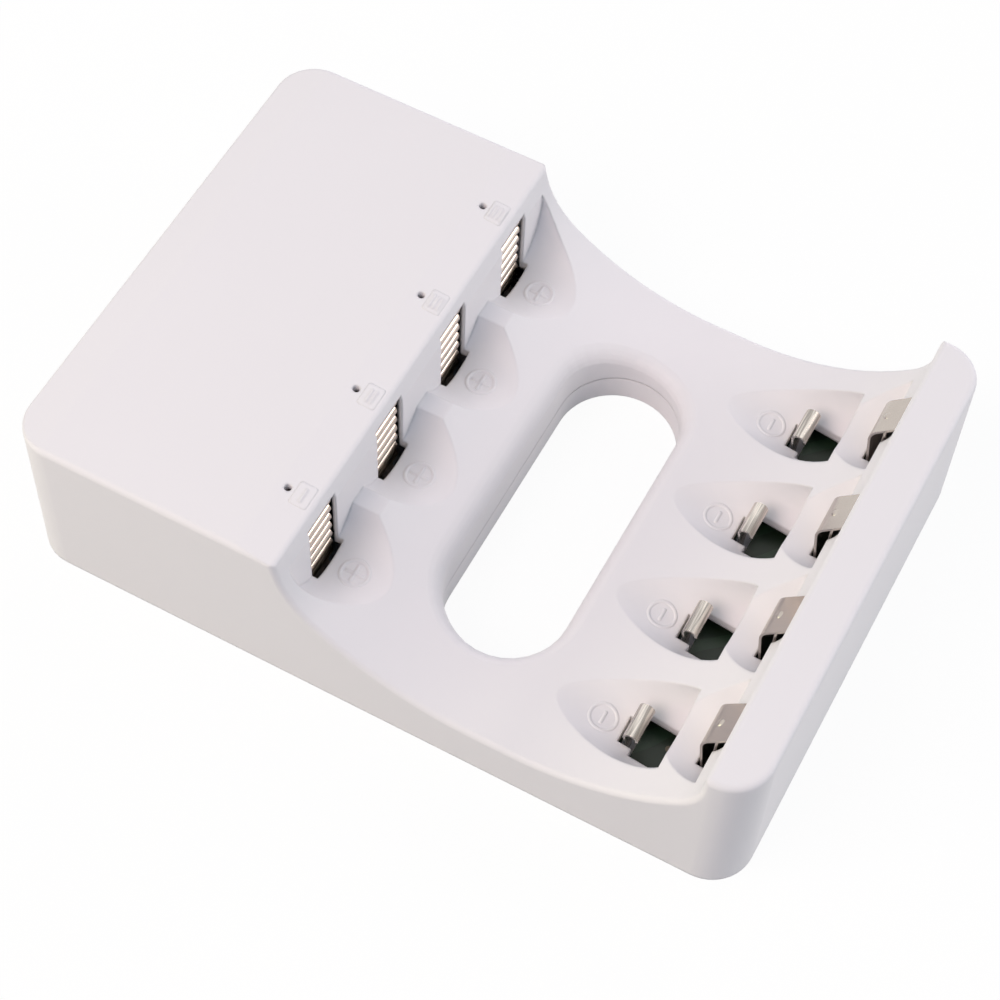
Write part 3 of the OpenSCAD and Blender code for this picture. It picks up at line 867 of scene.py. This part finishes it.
@dataclass
class Studio:
    """Floor, soft light and the camera at the photograph's angle."""

    camera_at_mm: tuple[float, float, float] = (-137.02, -65.19, 248.30)
    azimuth_deg: float = -64.528
    elevation_deg: float = 58.479
    roll_deg: float = 3.189
    focal_px: float = 2402.2
    picture_px: float = 1000.0
    sensor_mm: float = 36.0
    nearest_m: float = 0.01
    floor_m: float = 4.0
    floor_drop_mm: float = 0.05
    floor_tone: float = 0.45
    floor_glow: float = 0.86
    floor_strength: float = 1.085
    ambient: Colour = (0.31, 0.37, 0.44)
    lamps: tuple[Softbox, ...] = (
        Softbox("key", 150.0, 50.0, 4.2, (1.0, 0.82, 0.74)),
        Softbox("rear", 120.0, 18.0, 1.45, (0.95, 1.0, 0.6)),
        Softbox("front", 300.0, 18.0, 2.6, (1.0, 0.93, 0.87)),
        Softbox("right", 0.0, 18.0, 1.95, (1.0, 0.89, 0.89)),
    )

    def camera(self) -> None:
        """Adds the camera and makes it the scene's own."""
        azimuth, elevation = math.radians(self.azimuth_deg), math.radians(self.elevation_deg)
        roll = math.radians(self.roll_deg)
        out = math.cos(elevation)
        back = Vector((math.sin(azimuth) * out, -math.cos(azimuth) * out, math.sin(elevation)))
        level = Vector((math.cos(azimuth), math.sin(azimuth), 0.0))
        rise = back.cross(level)
        right = math.cos(roll) * level + math.sin(roll) * rise
        up = -math.sin(roll) * level + math.cos(roll) * rise
        data = bpy.data.cameras.new("camera")
        data.sensor_width = self.sensor_mm
        data.lens = self.sensor_mm * self.focal_px / self.picture_px
        data.clip_start = self.nearest_m
        camera = bpy.data.objects.new("camera", data)
        turn = Matrix((right, up, back)).transposed().to_4x4()
        camera.matrix_world = Matrix.Translation(Vector(self.camera_at_mm) * MM) @ turn
        bpy.context.scene.collection.objects.link(camera)
        bpy.context.scene.camera = camera

    def floor(self) -> None:
        """Adds the pale floor, which keeps the object's shadow."""
        deselect()
        at = (0.0, 0.0, -self.floor_drop_mm * MM)
        bpy.ops.mesh.primitive_plane_add(size=self.floor_m, location=at)
        plane = bpy.context.object
        plane.name = "floor"
        settle(plane)
        material, kit, shader = new_material("floor_white")
        kit.tree.nodes.remove(shader)
        matte = kit.add("ShaderNodeBsdfDiffuse", Color=shade(FULL_WHITE, self.floor_tone))
        glow = kit.add(
            "ShaderNodeEmission", Color=shade(FULL_WHITE), Strength=self.floor_strength
        )
        share = kit.calculate(self.seen(kit), "MULTIPLY", self.floor_glow)
        mix = kit.add("ShaderNodeMixShader", {"Fac": share})
        kit.link(matte.outputs[0], mix.inputs[1])
        kit.link(glow.outputs[0], mix.inputs[2])
        kit.link(mix.outputs[0], kit.tree.nodes["Material Output"].inputs["Surface"])
        plane.data.materials.append(material)

    @staticmethod
    def seen(kit: Tree) -> Socket:
        """Gives a socket that is 1 for camera, glossy and transmission rays.

        Args:
            kit: the tree that the nodes go into.

        Returns:
            The socket.
        """
        path = kit.add("ShaderNodeLightPath")
        first = kit.add("ShaderNodeMath", operation="MAXIMUM")
        kit.link(path.outputs["Is Camera Ray"], first.inputs[0])
        kit.link(path.outputs["Is Glossy Ray"], first.inputs[1])
        last = kit.add("ShaderNodeMath", operation="MAXIMUM")
        kit.link(first.outputs[0], last.inputs[0])
        kit.link(path.outputs["Is Transmission Ray"], last.inputs[1])
        return last.outputs[0]

    def world(self) -> None:
        """Lights the scene evenly from all round."""
        world = bpy.data.worlds.new("studio")
        bpy.context.scene.world = world
        world.use_nodes = True
        kit = Tree(world.node_tree)
        sky = kit.blend(self.seen(kit), shade(self.ambient), shade(FULL_WHITE))
        kit.link(sky, kit.tree.nodes["Background"].inputs["Color"])

    def build(self) -> None:
        """Sets up the whole studio."""
        self.camera()
        self.floor()
        self.world()
        for lamp in self.lamps:
            lamp.build()
        bpy.context.scene.view_settings.view_transform = "Standard"


def main() -> None:
    """Builds the studio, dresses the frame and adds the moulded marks."""
    logging.basicConfig(level=logging.INFO, format="%(message)s")
    Studio().build()
    nodes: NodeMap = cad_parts
    dresser = Dresser(nodes)
    dresser.dress()
    case, finish = nodes["top_housing"], dresser.material(CASE)
    marks = CellMarks(case, finish).build() + TallyPanels(case, finish).build()
    for mark in marks:
        LOG.info("%s: %d faces", mark.name, len(mark.data.polygons))


if __name__ == "__main__":
    main()
